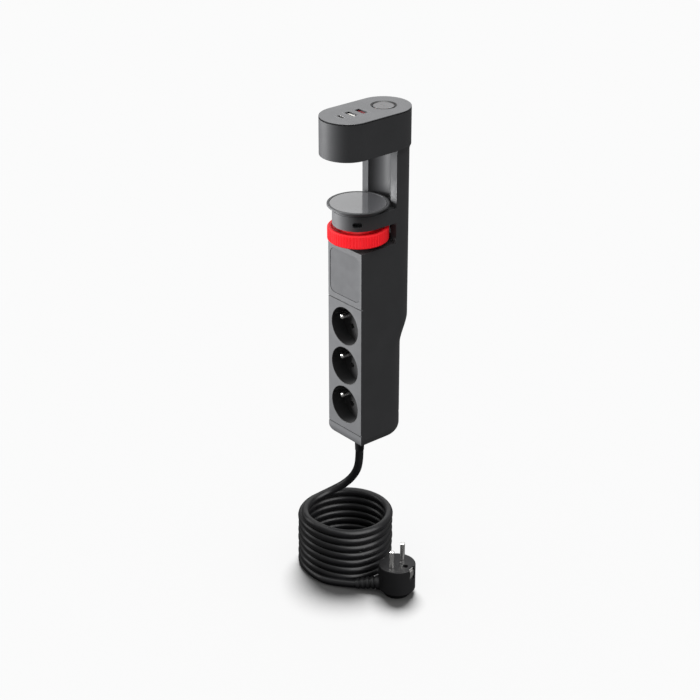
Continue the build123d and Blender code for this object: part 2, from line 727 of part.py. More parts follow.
with BuildPart() as button_spring:
    spring_bottom = SWITCH_TOP + 2.4
    spring_height = CAP_TOP - 3.0 - 0.4 - spring_bottom
    with BuildLine(Plane.XY.offset(spring_bottom)) as coil_line:
        Helix(
            pitch=spring_height / SPRING_TURNS,
            height=spring_height,
            radius=SPRING_R,
            center=(0, BUTTON_Y, 0),
        )
    with BuildSketch(Plane(coil_line.line @ 0, z_dir=coil_line.line % 0)):
        Circle(0.35)
    sweep()
save(button_spring, "button_spring")

# USB ports, each a folded shell around a tongue
PORT_DEPTH = 12.0
PORT_TOP = HEAD_H - 0.15


def port_shell(width, height, radius, wall, y):
    """A folded metal shell: a rounded tube with a closed back end."""
    with BuildPart(mode=Mode.PRIVATE) as shell:
        with BuildSketch(Plane.XY.offset(PORT_TOP - PORT_DEPTH)):
            with Locations((0, y)):
                RectangleRounded(width, height, radius)
        extrude(amount=PORT_DEPTH)
        with BuildSketch(Plane.XY.offset(PORT_TOP - PORT_DEPTH + 1.0)):
            with Locations((0, y)):
                RectangleRounded(width - 2 * wall, height - 2 * wall, max(radius - wall, 0.05))
        extrude(amount=PORT_DEPTH, mode=Mode.SUBTRACT)
    return shell.part


with BuildPart() as usb_c_shell:
    add(port_shell(C_W, C_H, C_H / 2 - 0.01, 0.3, USB_C_Y))
save(usb_c_shell, "usb_c_shell")

with BuildPart() as usb_c_tongue:
    with Locations((0, USB_C_Y, PORT_TOP - PORT_DEPTH / 2 - 0.5)):
        Box(6.7, 0.7, PORT_DEPTH - 3.0)
    with Locations((0, USB_C_Y, PORT_TOP - PORT_DEPTH + 2.0)):
        Box(7.0, 2.0, 2.0)
save(usb_c_tongue, "usb_c_tongue")

with BuildPart() as usb_a_shells:
    for y in USB_A_Y:
        add(port_shell(A_W, A_H, 0.4, 0.3, y))
save(usb_a_shells, "usb_a_shells")

TONGUE_T = 1.9
TONGUE_SHIFT = 1.1
for y, name in zip(USB_A_Y, ("usb_a_tongue_white", "usb_a_tongue_red")):
    with BuildPart() as tongue:
        with Locations((0, y + TONGUE_SHIFT, PORT_TOP - PORT_DEPTH / 2 + 0.05)):
            Box(11.1, TONGUE_T, PORT_DEPTH - 2.1)
        with Locations((0, y, PORT_TOP - PORT_DEPTH + 2.0)):
            Box(12.3, 4.9, 2.0)
    save(tongue, name)

with BuildPart() as usb_contacts:
    for y in USB_A_Y:
        strip_y = y + TONGUE_SHIFT - TONGUE_T / 2 - 0.15
        for k in range(4):
            with Locations((-3.5 + k * 7.0 / 3, strip_y, PORT_TOP - 5.4)):
                Box(1.0, 0.3, 7.0)
save(usb_contacts, "usb_contacts")

with BuildPart() as usb_board:
    board_top = PORT_TOP - PORT_DEPTH
    with BuildSketch(Plane.XY.offset(board_top - 1.6)):
        with Locations((0, -8.0)):
            RectangleRounded(34.0, 42.0, 2.0)
    extrude(amount=1.6)
    # converter parts on the underside
    for x, y, w, d, h in (
        (-9.0, -17.0, 14.0, 13.0, 9.0),
        (9.0, -14.0, 9.0, 9.0, 10.0),
        (6.0, 3.0, 16.0, 8.0, 5.0),
        (-10.0, 3.0, 8.0, 8.0, 11.0),
    ):
        with BuildSketch(Plane.XY.offset(board_top - 1.6)):
            with Locations((x, y)):
                RectangleRounded(w, d, 1.0)
        extrude(amount=-h)
save(usb_board, "usb_board")

with BuildPart() as switch_board:
    with BuildSketch(Plane.XY.offset(BOARD_TOP - 1.6)):
        with Locations((0, BUTTON_Y - 2.0)):
            RectangleRounded(34.0, 30.0, 2.0)
        with Locations((0, 48.4)):
            SlotOverall(26.0, 8.0, mode=Mode.SUBTRACT)
    extrude(amount=1.6)
save(switch_board, "switch_board")

with BuildPart() as head_screws:
    for x in (-15.0, 15.0):
        with BuildSketch(Plane.XY.offset(3.0)):
            with Locations((x, 40.0)):
                Circle(2.8)
        extrude(amount=2.0)
        with BuildSketch(Plane.XY.offset(5.0)):
            with Locations((x, 40.0)):
                RegularPolygon(1.4, 6)
        extrude(amount=-1.2, mode=Mode.SUBTRACT)
save(head_screws, "head_screws")

# Wires from the sockets up the column's duct
with BuildPart() as inner_wires:
    for x in (-5.0, 0.0, 5.0):
        wire_route = [(x, 22.2, BAR_TOP - 4), (x, 22.2, -120.0), (x, 48.4, -100.0), (x, 48.4, 10.0)]
        with BuildLine() as run:
            FilletPolyline(*wire_route, radius=9)
        with BuildSketch(Plane(run.line @ 0, z_dir=run.line % 0)):
            Circle(1.4)
        sweep(path=run.line)
save(inner_wires, "inner_wires")

# Cord, its strain reliefs and the plug --------------------------------------------------------
with BuildPart() as cord_gland:
    with BuildSketch(Plane(origin=(0, PARTING_Y, 0), x_dir=(1, 0, 0), z_dir=(0, -1, 0))):
        with BuildLine():
            Polyline(
                (0, RELIEF_END),
                (CORD_R + 0.4, RELIEF_END),
                (CORD_R + 0.7, BOTTOM_Z - 6.0),
                (CORD_R + 1.6, BOTTOM_Z - 0.4),
                (CORD_R + 1.6, BOTTOM_Z + 2.65),
                (CORD_R + 5.5, BOTTOM_Z + 2.65),
                (CORD_R + 5.5, BOTTOM_Z + 5.2),
                (CORD_R + 0.8, BOTTOM_Z + 5.6),
                (CORD_R + 0.8, CAP_Z + 5.0),
                (0, CAP_Z + 5.0),
                (0, RELIEF_END),
            )
        make_face()
    revolve(axis=Axis((0, PARTING_Y, 0), (0, 0, 1)))
save(cord_gland, "cord_gland")

with BuildPart() as cord_clamp:
    with Locations((0, PARTING_Y + 8.0, CAP_Z + 3.4)):
        Box(24.0, 6.0, 5.0)
    with BuildSketch(Plane.XY.offset(CAP_Z)):
        with Locations((0, PARTING_Y)):
            Circle(CORD_R + 0.9)
    extrude(amount=8, mode=Mode.SUBTRACT)
save(cord_clamp, "cord_clamp")


def bend_radii(route):
    """One radius for each corner: as large as the two runs beside it allow."""
    points = [Vector(*point) for point in route]
    radii = []
    for before, corner, after in zip(points, points[1:], points[2:]):
        turn = (corner - before).get_angle(after - corner)
        run = min((corner - before).length, (after - corner).length)
        radii.append(0.45 * run / tan(radians(turn) / 2))
    return radii


def cord_tube(route, name):
    """Straight runs joined by tangent arcs, with the cord's round section."""
    radii = bend_radii(route)
    print(name, "bend radii in mm:", [round(r, 1) for r in radii])
    with BuildPart() as tube:
        with BuildLine() as line:
            FilletPolyline(*route, radius=radii)
        path = line.wires()[0]
        with BuildSketch(Plane(path @ 0, z_dir=path % 0)):
            Circle(CORD_R)
        sweep(path=path)
    fullness = tube.part.volume / (pi * CORD_R**2 * path.length)
    print(name, "length in mm:", round(path.length, 1), "volume over section x length:", round(fullness, 4))
    save(tube, name)


cord_tube(DROP_ROUTE, "cord_drop")
cord_tube(TAIL_ROUTE, "cord_tail")

with BuildPart() as cord_coil:
    coil_height = COIL_PITCH * (COIL_LAYERS - 1) + 2 * CORD_R
    with BuildSketch(Plane.XY.offset(FLOOR_Z)):
        with Locations((COIL_X, COIL_Y)):
            Circle(COIL_R + CORD_R)
            Circle(COIL_R - CORD_R, mode=Mode.SUBTRACT)
    extrude(amount=coil_height)
save(cord_coil, "cord_coil")

plug_dir = (cos(radians(PLUG_TURN)), sin(radians(PLUG_TURN)), 0)
plug_base = Plane(origin=(PLUG_X, PLUG_Y, FLOOR_Z), x_dir=plug_dir, z_dir=(0, 0, 1))
plug_side = Plane(
    origin=(PLUG_X, PLUG_Y, 0),
    x_dir=plug_dir,
    z_dir=(sin(radians(PLUG_TURN)), -cos(radians(PLUG_TURN)), 0),
)
face_dir = (cos(radians(FACE_TURN)), sin(radians(FACE_TURN)), 0)
plug_face = Plane(origin=(PLUG_X, PLUG_Y, PLUG_FACE_Z), x_dir=face_dir, z_dir=(0, 0, 1))
PIN_LENGTH = 19.0
PIN_NECK = 0.3  # the thin root shows this much above the plug's face
ROOT_R = 1.9
ROOT_DEPTH = 14.0
NECK_X = -20.6
NECK_Z = FLOOR_Z + 9.5
PIN_SPOTS = [(0.0, -9.5), (0.0, 9.5)]

with BuildPart() as plug_body:
    with BuildSketch(plug_base):
        Circle(PLUG_R)
    extrude(amount=PLUG_FACE_Z - FLOOR_Z)
    chamfer(plug_body.edges().group_by(Axis.Z)[0], 7.0, 5.5)
    fillet(plug_body.edges().group_by(Axis.Z)[-1], 0.8)
    # neck that takes the strain relief
    neck_plane = Plane(
        origin=plug_side.from_local_coords((NECK_X, NECK_Z, 0)),
        z_dir=plug_side.x_dir,
    )
    with BuildSketch(neck_plane):
        Circle(7.4)
    extrude(amount=14.0)
    # flats and slots for the two side earth clips
    with BuildSketch(plug_face):
        for side in (-1, 1):
            with Locations((side * PLUG_R, 0)):
                Rectangle(5.2, 8.6)
    extrude(amount=-13.0, mode=Mode.SUBTRACT)
    with BuildSketch(plug_face):
        with Locations((10.0, 0)):
            Circle(2.7)
        with Locations(*PIN_SPOTS):
            Circle(ROOT_R)
    extrude(amount=-ROOT_DEPTH, mode=Mode.SUBTRACT)
save(plug_body, "plug_body")

with BuildPart() as plug_pins:
    with BuildSketch(plug_face.offset(-ROOT_DEPTH)):
        with Locations(*PIN_SPOTS):
            Circle(ROOT_R)
    extrude(amount=ROOT_DEPTH + PIN_NECK)
    with BuildSketch(plug_face.offset(PIN_NECK)):
        with Locations(*PIN_SPOTS):
            Circle(PIN_R)
    extrude(amount=PIN_LENGTH - PIN_NECK)
    fillet(plug_pins.edges().group_by(Axis.Z)[-1], 1.5)
save(plug_pins, "plug_pins")

with BuildPart() as plug_earth_clips:
    for side in (-1, 1):
        with BuildSketch(plug_face.offset(-12.8)):
            with Locations((side * (PLUG_R - 2.1), 0)):
                Rectangle(0.8, 6.0)
        extrude(amount=12.2)
        with BuildSketch(plug_face.offset(-9.0)):
            with Locations((side * (PLUG_R - 1.4), 0)):
                Rectangle(1.2, 6.0)
        extrude(amount=6.0)
save(plug_earth_clips, "plug_earth_clips")

with BuildPart() as plug_relief:
    relief_start = Vector(*TAIL_ROUTE[-1])
    relief_end = plug_side.from_local_coords((NECK_X, NECK_Z, 0))
    axis_dir = (relief_end - relief_start).normalized()
    relief_length = (relief_end - relief_start).length
    with BuildSketch(Plane(origin=relief_start, z_dir=axis_dir)):
        Circle(CORD_R + 0.9)
    with BuildSketch(Plane(origin=relief_end, z_dir=axis_dir)):
        Circle(6.9)
    loft()
save(plug_relief, "plug_relief")
print("plug relief length", round(relief_length, 1))
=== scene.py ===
"""Looks of the clamp-on desk power strip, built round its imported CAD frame. Metres throughout."""

import json
from math import cos, pi, radians, sin

import bpy
from mathutils import Matrix, Vector


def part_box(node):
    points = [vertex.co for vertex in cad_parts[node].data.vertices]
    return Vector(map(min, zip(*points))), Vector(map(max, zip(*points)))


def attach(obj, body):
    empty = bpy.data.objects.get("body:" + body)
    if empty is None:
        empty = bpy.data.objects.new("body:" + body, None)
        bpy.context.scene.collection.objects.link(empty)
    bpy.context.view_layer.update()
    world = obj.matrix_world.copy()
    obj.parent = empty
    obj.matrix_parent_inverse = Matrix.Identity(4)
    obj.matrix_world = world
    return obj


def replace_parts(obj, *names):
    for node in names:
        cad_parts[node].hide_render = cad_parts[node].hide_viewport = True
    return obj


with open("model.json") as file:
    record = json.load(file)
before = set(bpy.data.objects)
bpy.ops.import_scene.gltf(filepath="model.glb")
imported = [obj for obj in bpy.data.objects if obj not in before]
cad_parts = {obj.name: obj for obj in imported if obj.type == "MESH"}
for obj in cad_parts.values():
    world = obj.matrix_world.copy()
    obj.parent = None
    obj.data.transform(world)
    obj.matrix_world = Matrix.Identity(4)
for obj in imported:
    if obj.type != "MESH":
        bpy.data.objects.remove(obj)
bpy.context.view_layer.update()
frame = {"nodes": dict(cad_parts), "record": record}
nodes = frame["nodes"]
subparts = frame["record"]["subparts"]

MM = 0.001
FLOOR_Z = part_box("cord_coil")[0].z
CORD_R = 4.15 * MM

# The camera -----------------------------------------------------------------------------------
CAMERA_PLACE = (1.2286, -1.0461, 0.5873)
CAMERA_DOWN = 26.27  # degrees below level
CAMERA_TURN = 49.86  # degrees, from looking along +Y
CAMERA_LENS = 93.57


def make_camera():
    data = bpy.data.cameras.new("camera")
    data.lens = CAMERA_LENS
    camera = bpy.data.objects.new("camera", data)
    camera.location = CAMERA_PLACE
    camera.rotation_euler = (radians(90 - CAMERA_DOWN), 0, radians(CAMERA_TURN))
    bpy.context.scene.collection.objects.link(camera)
    bpy.context.scene.camera = camera


make_camera()

# The supply cord ------------------------------------------------------------------------------
DROP_ROUTE = [  # from the gland down to the top turn
    (0.0, 0.0026, -0.3224),
    (0.0, 0.0026, -0.3386),
    (-0.0056, 0.0010, -0.3540),
    (-0.0150, -0.0046, -0.3672),
    (-0.0245, -0.0166, -0.3758),
    (-0.0276, -0.0332, -0.3790),
    (-0.0221, -0.0500, -0.3796),
    (-0.0094, -0.0619, -0.3799),
]
TAIL_ROUTE = [  # along the floor, from the lowest turn to the plug's strain relief
    (0.0095, -0.0669, -0.43885),
    (0.0316, -0.0641, -0.43885),
    (0.0529, -0.0467, -0.4374),
]
COIL_CENTRE = (0.0056, -0.0212)
COIL_RADIUS = 0.0441
COIL_PITCH = 0.00845
COIL_TURNS = 7
COIL_START = 272.0  # degrees, where the drop joins the top turn
POINTS_PER_TURN = 12
TURN_WANDER = 0.5 * MM  # hand-wound turns aren't all the same size
WANDER_START = 0.8  # radians
WANDER_IN_SIZE = 2.3  # radians a turn, of the size of the change
WANDER_IN_PLACE = 1.9  # radians a turn, of where the change is widest
STEP_DOWN = 0.17  # share of a turn in which it comes down half a pitch


def fallen(share):
    """Share of a pitch that a turn has come down, half of it early, where the next turn starts."""
    early = min(share / STEP_DOWN, 1.0)
    smooth = early * early * (3 - 2 * early)
    return 0.5 * share + 0.5 * smooth


def coil_points():
    """Control points of the turns, from the top one down to the floor."""
    step = 2 * pi / POINTS_PER_TURN
    control = COIL_RADIUS / cos(step / 2)
    top = FLOOR_Z + CORD_R + COIL_TURNS * COIL_PITCH
    points = []
    for k in range(COIL_TURNS * POINTS_PER_TURN):
        turn = k / POINTS_PER_TURN
        angle = radians(COIL_START) + k * step
        size = TURN_WANDER * sin(WANDER_IN_SIZE * turn + WANDER_START)
        r = control + size * sin(angle + WANDER_IN_PLACE * turn)
        x = COIL_CENTRE[0] + r * cos(angle)
        y = COIL_CENTRE[1] + r * sin(angle)
        points.append((x, y, top - (int(turn) + fallen(turn % 1.0)) * COIL_PITCH))
    return points


def make_cord():
    """The whole cord as one round curve: the drop, the turns and the tail."""
    route = DROP_ROUTE + coil_points() + TAIL_ROUTE
    data = bpy.data.curves.new("supply_cord", "CURVE")
    data.dimensions = "3D"
    data.bevel_depth = CORD_R
    data.bevel_resolution = 8
    data.resolution_u = 10
    data.use_fill_caps = True
    spline = data.splines.new("NURBS")
    spline.points.add(len(route) - 1)
    for point, place in zip(spline.points, route):
        point.co = (*place, 1.0)
    spline.order_u = 3
    spline.use_endpoint_u = True
    piece = bpy.data.objects.new("supply_cord", data)
    bpy.context.scene.collection.objects.link(piece)
    return piece


supply_cord = make_cord()

# Materials ------------------------------------------------------------------------------------
SHADE_PATCH = 28 * MM  # how wide the slow changes of shade in moulded plastic are
GLOSS_PATCH = 9 * MM
GLOSS_SWING = 0.03
GRAIN_SIZE = 0.5 * MM
GRAIN_DEPTH = 0.05 * MM
MARK_WIDTH = 0.35 * MM  # marks in drawn metal
MARK_DEPTH = 0.03 * MM
SHEATH_PATCH = 14 * MM  # the same changes in the cord's sheath
HANDLED_PATCH = 6 * MM
RIPPLE = 1.6 * MM
RIPPLE_DEPTH = 0.08 * MM
TRACK_WIDTH = 1.2 * MM


class Surface:
    """A Principled material with a few helpers to wire procedural detail into it."""

    def __init__(self, name):
        self.material = bpy.data.materials.new(name)
        self.material.use_nodes = True
        self.tree = self.material.node_tree
        self.shader = self.tree.nodes["Principled BSDF"]
        self.place = self.tree.nodes.new("ShaderNodeTexCoord").outputs["Object"]

    def link(self, out, into):
        self.tree.links.new(out, into)

    def fix(self, **values):
        """Sets the shader's own sockets; underscores in a name stand for spaces."""
        for key, value in values.items():
            self.shader.inputs[key.replace("_", " ")].default_value = value

    def noise(self, size, detail=2.0, stretch=None):
        """Noise whose features are about this many metres across."""
        node = self.tree.nodes.new("ShaderNodeTexNoise")
        node.inputs["Scale"].default_value = 1.0 / size
        node.inputs["Detail"].default_value = detail
        source = self.place
        if stretch:
            mapping = self.tree.nodes.new("ShaderNodeMapping")
            mapping.inputs["Scale"].default_value = stretch
            self.link(self.place, mapping.inputs["Vector"])
            source = mapping.outputs["Vector"]
        self.link(source, node.inputs["Vector"])
        return node.outputs["Fac"]

    def ramp(self, factor, low, high, start=0.3, stop=0.7):
        """Goes from low to high as the factor goes from start to stop."""
        node = self.tree.nodes.new("ShaderNodeMapRange")
        node.inputs["From Min"].default_value = start
        node.inputs["From Max"].default_value = stop
        node.inputs["To Min"].default_value = low
        node.inputs["To Max"].default_value = high
        self.link(factor, node.inputs["Value"])
        return node.outputs["Result"]

    def blend(self, factor, low, high):
        """A colour between two, by the factor."""
        node = self.tree.nodes.new("ShaderNodeMix")
        node.data_type = "RGBA"
        colours = [i for i in node.inputs if i.type == "RGBA"]
        colours[0].default_value = (*low, 1.0)
        colours[1].default_value = (*high, 1.0)
        self.link(factor, node.inputs["Factor"])
        return next(o for o in node.outputs if o.type == "RGBA")

    def bump(self, height, strength, depth):
        node = self.tree.nodes.new("ShaderNodeBump")
        node.inputs["Strength"].default_value = strength
        node.inputs["Distance"].default_value = depth
        self.link(height, node.inputs["Height"])
        self.link(node.outputs["Normal"], self.shader.inputs["Normal"])


def shade_of(colour, share):
    """A colour made darker or lighter."""
    return tuple(min(c * share, 1.0) for c in colour)


def moulded(name, colour, roughness, grain, spread=0.06, **fixed):
    """Moulded plastic: fine spark-eroded grain, and slow changes of shade and gloss."""
    s = Surface(name)
    patches = s.ramp(s.noise(SHADE_PATCH, 3.0), 0, 1)
    s.link(s.blend(patches, shade_of(colour, 1 - spread), shade_of(colour, 1 + spread)),
           s.shader.inputs["Base Color"])
    s.link(s.ramp(s.noise(GLOSS_PATCH, 4.0), roughness - GLOSS_SWING, roughness + GLOSS_SWING),
           s.shader.inputs["Roughness"])
    s.bump(s.noise(GRAIN_SIZE, 2.0), grain, GRAIN_DEPTH)
    s.fix(**fixed)
    return s.material


def drawn_metal(name, colour, roughness, stretch, spread):
    """Metal with fine marks along the way that it was drawn or turned."""
    s = Surface(name)
    marks = s.noise(MARK_WIDTH, 3.0, stretch)
    s.link(s.blend(s.ramp(marks, 0, 1), shade_of(colour, 1 - spread), shade_of(colour, 1 + spread)),
           s.shader.inputs["Base Color"])
    s.link(s.ramp(marks, roughness - 0.05, roughness + 0.07), s.shader.inputs["Roughness"])
    s.bump(marks, 0.12, MARK_DEPTH)
    s.fix(Metallic=1.0)
    return s.material


def sheathed(name, colour, roughness, **fixed):
    """Extruded cord sheath: faint ripples from the die, and dull patches where it was handled."""
    s = Surface(name)
    patches = s.ramp(s.noise(SHEATH_PATCH, 3.0), 0, 1)
    s.link(s.blend(patches, shade_of(colour, 0.85), shade_of(colour, 1.25)),
           s.shader.inputs["Base Color"])
    s.link(s.ramp(s.noise(HANDLED_PATCH, 5.0), roughness - 0.05, roughness + 0.08),
           s.shader.inputs["Roughness"])
    s.bump(s.noise(RIPPLE, 2.0), 0.12, RIPPLE_DEPTH)
    s.fix(**fixed)
    return s.material


def circuit_board(name):
    """Green lacquer with copper tracks under it."""
    s = Surface(name)
    tracks = s.noise(TRACK_WIDTH, 0.0, (1.0, 0.15, 1.0))
    s.link(s.blend(s.ramp(tracks, 0, 1, 0.52, 0.54), (0.012, 0.07, 0.03), (0.03, 0.16, 0.07)),
           s.shader.inputs["Base Color"])
    s.fix(Roughness=0.35)
    return s.material


ALONG_Z = (1.0, 1.0, 0.06)
ALONG_X = (0.06, 1.0, 1.0)
DULL = {"Specular_IOR_Level": 0.3}
SATIN = {"Specular_IOR_Level": 0.4}
GLASSY = {"Coat_Weight": 1.0, "Coat_Roughness": 0.04}
MILKY = {"Subsurface_Weight": 0.1, "Subsurface_Scale": 0.002}
SMOKY = {"Subsurface_Weight": 0.15, "Subsurface_Scale": 0.001}
PLASTICS = {  # colour, roughness, grain, other settings
    "body_black": ((0.062, 0.063, 0.066), 0.46, 0.3, SATIN),
    "socket_black": ((0.026, 0.026, 0.0265), 0.42, 0.3, DULL),
    "label_black": ((0.064, 0.065, 0.068), 0.36, 0.05, SATIN),
    "panel_black": ((0.058, 0.059, 0.062), 0.34, 0.06, {"Specular_IOR_Level": 0.45}),
    "wheel_red": ((0.72, 0.006, 0.012), 0.5, 0.12, {"spread": 0.04, **DULL}),
    "pad_grey": ((0.1, 0.101, 0.107), 0.16, 0.03, GLASSY),
    "nylon": ((0.62, 0.6, 0.54), 0.5, 0.1, MILKY),
    "light": ((0.085, 0.08, 0.082), 0.22, 0.02, SMOKY),
    "button_grey": ((0.07, 0.069, 0.071), 0.36, 0.08, {}),
    "usb_white": ((0.84, 0.82, 0.77), 0.35, 0.03, {}),
    "usb_red": ((0.2, 0.004, 0.01), 0.45, 0.03, {"Specular_IOR_Level": 0.2}),
    "wire": ((0.16, 0.06, 0.02), 0.4, 0.05, {}),
    "plug_black": ((0.006, 0.006, 0.0065), 0.42, 0.2, DULL),
    "printed_grey": ((0.2, 0.2, 0.21), 0.4, 0.02, {}),
}
METALS = {  # colour, roughness, the way of the marks, spread of shade
    "steel": ((0.56, 0.56, 0.58), 0.3, ALONG_X, 0.1),
    "port_steel": ((0.07, 0.07, 0.073), 0.42, ALONG_Z, 0.1),
    "nickel": ((0.86, 0.85, 0.83), 0.22, ALONG_Z, 0.04),
    "brass": ((0.72, 0.52, 0.22), 0.3, ALONG_Z, 0.1),
    "gold": ((0.86, 0.62, 0.25), 0.22, ALONG_Z, 0.05),
}
CORD_SHADE = (0.0045, 0.0045, 0.005)

LOOKS = {name: moulded(name, *look[:3], **look[3]) for name, look in PLASTICS.items()}
LOOKS.update({name: drawn_metal(name, *look) for name, look in METALS.items()})
LOOKS["cord_black"] = sheathed("cord_black", CORD_SHADE, 0.33, **DULL)
LOOKS["board"] = circuit_board("board")

for subpart in subparts:
    mesh = nodes[subpart["node"]].data
    mesh.materials.clear()
    mesh.materials.append(LOOKS[subpart["material_slot"]])
nodes["usb_a_shells"].data.materials[0] = LOOKS["port_steel"]


def add_piece(name, verts, faces, look, body, sharp=40.0):
    """A mesh object of the part that rides on a body, with the given look as its material."""
    mesh = bpy.data.meshes.new(name)
    mesh.from_pydata(verts, [], faces)
    mesh.validate()
    mesh.shade_smooth()
    mesh.set_sharp_from_angle(angle=radians(sharp))
    mesh.materials.append(LOOKS[look])
    piece = bpy.data.objects.new(name, mesh)
    bpy.context.scene.collection.objects.link(piece)
    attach(piece, body)
    return piece


def axis_frame(base, direction):
    """A matrix that puts local Z along a direction from a base point."""
    turn = Vector(direction).normalized().to_track_quat("Z", "Y").to_matrix().to_4x4()
    return Matrix.Translation(base) @ turn


def turned(profile, place, segments=72):
    """Vertices and faces of a closed shape turned from (radius, height) points, first to last."""
    verts, faces, rings = [], [], []
    for r, h in profile:
        count = 1 if r == 0 else segments
        rings.append(list(range(len(verts), len(verts) + count)))
        for k in range(count):
            a = 2 * pi * k / segments
            verts.append(place @ Vector((r * cos(a), r * sin(a), h)))
    for low, high in zip(rings, rings[1:]):
        for k in range(segments):
            n = (k + 1) % segments
            if len(low) == 1:
                faces.append((low[0], high[n], high[k]))
            elif len(high) == 1:
                faces.append((low[k], low[n], high[0]))
            else:
                faces.append((low[k], low[n], high[n], high[k]))
    return verts, faces


# The plug's ribbed strain relief --------------------------------------------------------------
PLUG_PLACE = (0.0838, -0.0191)
PLUG_TURN = radians(41.9)
PLUG_AHEAD = Vector((cos(PLUG_TURN), sin(PLUG_TURN), 0))
NECK_BACK = 20.6 * MM  # from the plug's middle to where the relief goes into it
NECK_HEIGHT = 9.5 * MM
NECK = Vector((*PLUG_PLACE, FLOOR_Z + NECK_HEIGHT)) - NECK_BACK * PLUG_AHEAD
RELIEF_RIBS = 4
GROOVE_DEPTH = 1.5 * MM
RELIEF_THIN = CORD_R + 0.9 * MM
RELIEF_THICK = 6.9 * MM
RELIEF_MOUTH = CORD_R + 0.02 * MM
RELIEF_LIP = 0.3 * MM
MOUTH_DEPTH = 1.2 * MM
INTO_PLUG = 1.5 * MM
# One rib and the groove after it: share of the pitch, share of the groove's depth
RIB_SHAPE = ((0.04, 0.12), (0.12, 0.0), (0.5, 0.0), (0.58, 0.12), (0.64, 1.0), (0.94, 1.0))


def relief_profile(length):
    """A sleeve that widens towards the plug, cut by round grooves that get deeper."""
    points = [(RELIEF_MOUTH, MOUTH_DEPTH), (RELIEF_MOUTH, 0.0), (RELIEF_THIN - RELIEF_LIP, 0.0)]
    pitch = length / RELIEF_RIBS
    for k in range(RELIEF_RIBS):
        groove = GROOVE_DEPTH * (0.5 + 0.5 * k / RELIEF_RIBS)
        for share, depth in RIB_SHAPE:
            along = (k + share) * pitch
            sleeve = RELIEF_THIN + (RELIEF_THICK - RELIEF_THIN) * along / length
            points.append((sleeve - depth * groove, along))
    end = length + INTO_PLUG
    return points + [(RELIEF_THICK, length - RELIEF_LIP), (RELIEF_THICK, end), (0, end)]


def make_relief():
    """The sleeve between the end of the cord and the plug."""
    start = Vector(TAIL_ROUTE[-1])
    place = axis_frame(start, NECK - start)
    verts, faces = turned(relief_profile((NECK - start).length), place, 56)
    piece = add_piece("ribbed_strain_relief", verts, faces, "plug_black", "tower")
    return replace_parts(piece, "plug_relief")


strain_relief = make_relief()

# The clamp's threaded screw -------------------------------------------------------------------
SCREW_R = 7.0 * MM
THREAD_DEPTH = 1.0 * MM
THREAD_PITCH = 3.0 * MM
THREAD_STARTS = 2
FLAT = 5.8 * MM  # half the distance across the two flats
RUN_OUT = 1.5 * MM
TOP_DEPTH = 0.4  # share of the thread's depth that is left at the screw's top end
ROOT = 0.3  # shares of the pitch
FLANK = 0.15
SCREW_SEGMENTS = 72
SCREW_ROW = 0.25 * MM


def thread_height(share):
    """Share of the thread's depth at a share of its pitch: flat root, flank, flat crest, flank."""
    share %= 1.0
    if share < ROOT:
        return 0.0
    return min((share - ROOT) / FLANK, 1.0, (1.0 - share) / FLANK)


def make_screw():
    """A two-start screw with two flats, closed at both ends."""
    low, high = (corner.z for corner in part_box("clamp_screw"))
    segments = SCREW_SEGMENTS
    rows = int((high - low) / SCREW_ROW) + 1
    verts, faces = [Vector((0, 0, low))], []
    for i in range(rows):
        z = min(low + i * SCREW_ROW, high)
        fade = min(1.0, (z - low) / RUN_OUT, (high - z) / RUN_OUT + TOP_DEPTH)
        for k in range(segments):
            a = 2 * pi * k / segments
            share = (z / THREAD_PITCH) - THREAD_STARTS * k / segments
            r = SCREW_R - THREAD_DEPTH * (1 - fade * thread_height(share))
            y = max(-FLAT, min(FLAT, r * sin(a)))
            verts.append(Vector((r * cos(a), y, z)))
    verts.append(Vector((0, 0, high)))
    for k in range(segments):
        n = (k + 1) % segments
        faces.append((0, 1 + n, 1 + k))
        for i in range(rows - 1):
            a, b = 1 + i * segments, 1 + (i + 1) * segments
            faces.append((a + k, a + n, b + n, b + k))
        last = 1 + (rows - 1) * segments
        faces.append((last + k, last + n, len(verts) - 1))
    piece = add_piece("threaded_screw", verts, faces, "steel", "pad", 35.0)
    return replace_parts(piece, "clamp_screw")


make_screw()

# Printed outlines on the top panel ------------------------------------------------------------
PANEL_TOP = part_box("top_panel")[1].z
INK_W = 0.22 * MM
INK_T = 0.02 * MM
OUTLINE_R = 1.2 * MM
C_OUTLINE = (18.2 * MM, 6.9 * MM)  # across the panel, along it
A_OUTLINE = (17.9 * MM, 21.5 * MM)
C_OUTLINE_X = 1.9 * MM
A_OUTLINE_X = 0.9 * MM


def rounded_loop(cx, cy, w, h, r, inset, per_corner=6):
    """The corners of a rectangle with rounded corners, set in from its outline, in order."""
    points = []
    half_w, half_h, radius = w / 2 - inset, h / 2 - inset, r - inset
    for quarter, (sx, sy) in enumerate(((1, 1), (-1, 1), (-1, -1), (1, -1))):
        for k in range(per_corner + 1):
            a = pi / 2 * (quarter + k / per_corner)
            points.append((cx + sx * (half_w - radius) + radius * cos(a),
                           cy + sy * (half_h - radius) + radius * sin(a)))
    return points


def make_outline(name, port, cx, size):
    """A thin printed line round a port group."""
    low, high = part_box(port)
    cy = (low.y + high.y) / 2
    outer = rounded_loop(cx, cy, *size, OUTLINE_R, 0)
    inner = rounded_loop(cx, cy, *size, OUTLINE_R, INK_W)
    count = len(outer)
    levels = (PANEL_TOP - INK_T, PANEL_TOP + INK_T)
    verts = [(x, y, z) for z in levels for x, y in outer + inner]
    faces = []
    for k in range(count):
        n = (k + 1) % count
        o0, o1, i0, i1 = k, n, count + k, count + n
        up = 2 * count
        faces.append((o0 + up, o1 + up, i1 + up, i0 + up))
        faces.append((i0, i1, o1, o0))
        faces.append((o0, o1, o1 + up, o0 + up))
        faces.append((i1, i0, i0 + up, i1 + up))
    add_piece(name, verts, faces, "printed_grey", "tower", 30)


